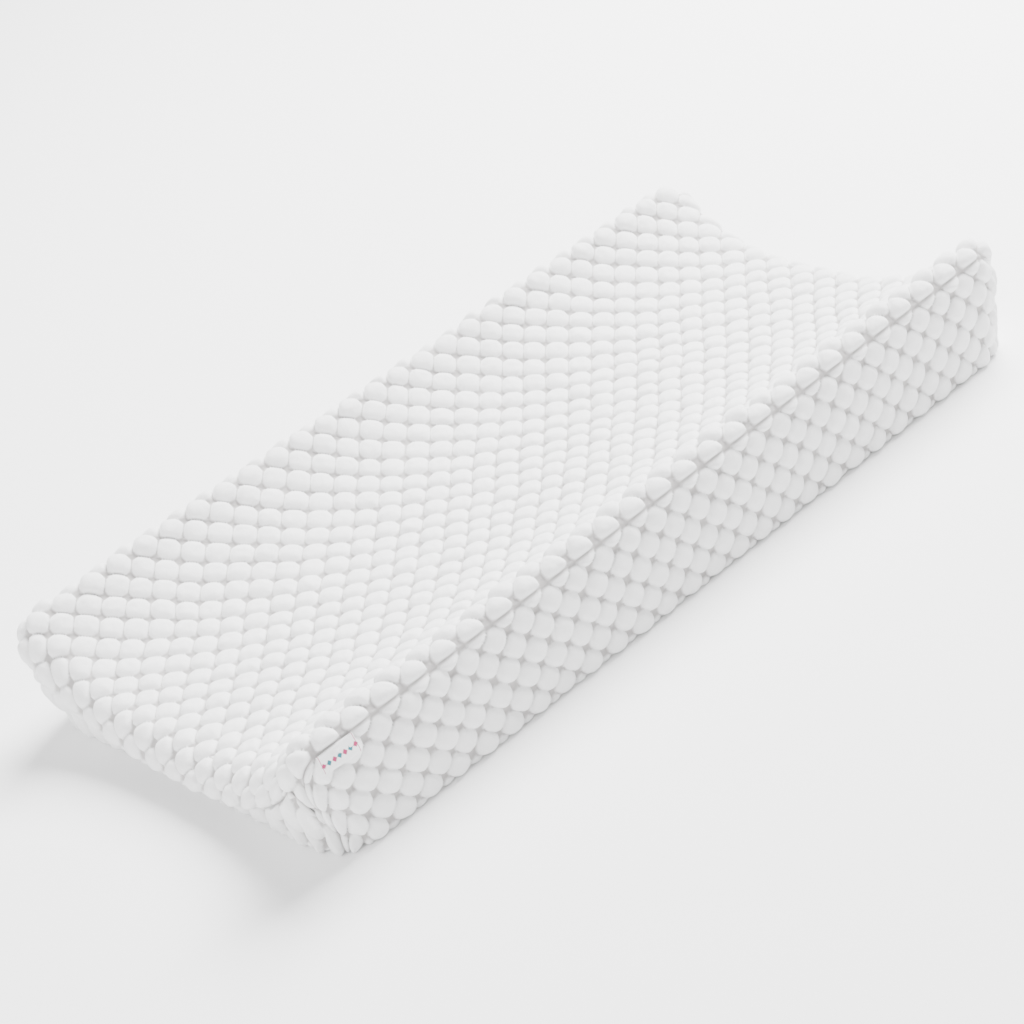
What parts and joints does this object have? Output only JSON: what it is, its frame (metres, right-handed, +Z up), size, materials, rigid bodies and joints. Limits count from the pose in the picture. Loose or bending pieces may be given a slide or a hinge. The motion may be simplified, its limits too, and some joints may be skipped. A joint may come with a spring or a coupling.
{
  "type": "changing pad",
  "caption": "Contoured foam changing pad with two raised long sides, in a fitted bubble-plush cover with an elastic hem; zipped liner and anchor straps underneath.",
  "frame": {"origin": "centre of the footprint, on the surface that the pad lies on", "axes": "+Y along the pad from foot to head, +Z up, +X to the right seen from the foot"},
  "size_m": [0.41, 0.8, 0.105],
  "materials": {
    "foam": "matt open-cell foam",
    "liner_vinyl": "quilted wipe-clean vinyl, satin",
    "base_vinyl": "fine-grained non-slip vinyl",
    "grip_rubber": "matt",
    "zip_tape": "woven tape",
    "zip_teeth": "moulded",
    "zip_metal": "enamelled",
    "strap_webbing": "woven webbing",
    "eyelet_metal": "plated",
    "plush": "bubble-embossed polyester plush, soft matt",
    "hem_cloth": "gathered plush, turned and stitched",
    "elastic": "braided elastic",
    "label_ribbon": "woven ribbon, folded"
  },
  "bodies": {
    "pad": {"foam_core": "foam", "liner_top_sheet": "liner_vinyl", "liner_foot_gusset": "liner_vinyl", "liner_head_gusset": "liner_vinyl", "liner_base": "base_vinyl", "grip_dots": "grip_rubber", "zipper_tape_left": "zip_tape", "zipper_tape_right": "zip_tape", "zipper_teeth_left": "zip_teeth", "zipper_teeth_right": "zip_teeth", "zipper_stops": "zip_metal", "strap_patches": "strap_webbing", "cover_top_panel": "plush", "cover_left_panel": "plush", "cover_right_panel": "plush", "cover_foot_panel": "plush", "cover_head_panel": "plush", "hem_casing": "hem_cloth", "hem_elastic": "elastic", "seam_label": "label_ribbon"},
    "zipper_slider": {"zipper_slider": "zip_metal"},
    "zipper_pull": {"zipper_pull": "zip_metal"},
    "foot_strap": {"anchor_strap_foot": "strap_webbing", "strap_eyelet_foot": "eyelet_metal"},
    "head_strap": {"anchor_strap_head": "strap_webbing", "strap_eyelet_head": "eyelet_metal"}
  },
  "joints": [
    {"name": "zipper_slide", "type": "slide", "parent": "pad", "child": "zipper_slider", "axis": [0, -1, 0], "range_m": [0, 0.545]},
    {"name": "zipper_pull_hinge", "type": "hinge", "parent": "zipper_slider", "child": "zipper_pull", "pos_m": [0.08, 0.2759, 0.00175], "axis": [1, 0, 0], "range_deg": [0, 170]},
    {"name": "foot_strap_hinge", "type": "hinge", "parent": "pad", "child": "foot_strap", "pos_m": [-0.133, -0.2, 0.00375], "axis": [0, 1, 0], "range_deg": [0, 150]},
    {"name": "head_strap_hinge", "type": "hinge", "parent": "pad", "child": "head_strap", "pos_m": [-0.133, 0.2, 0.00375], "axis": [0, 1, 0], "range_deg": [0, 150]}
  ]
}
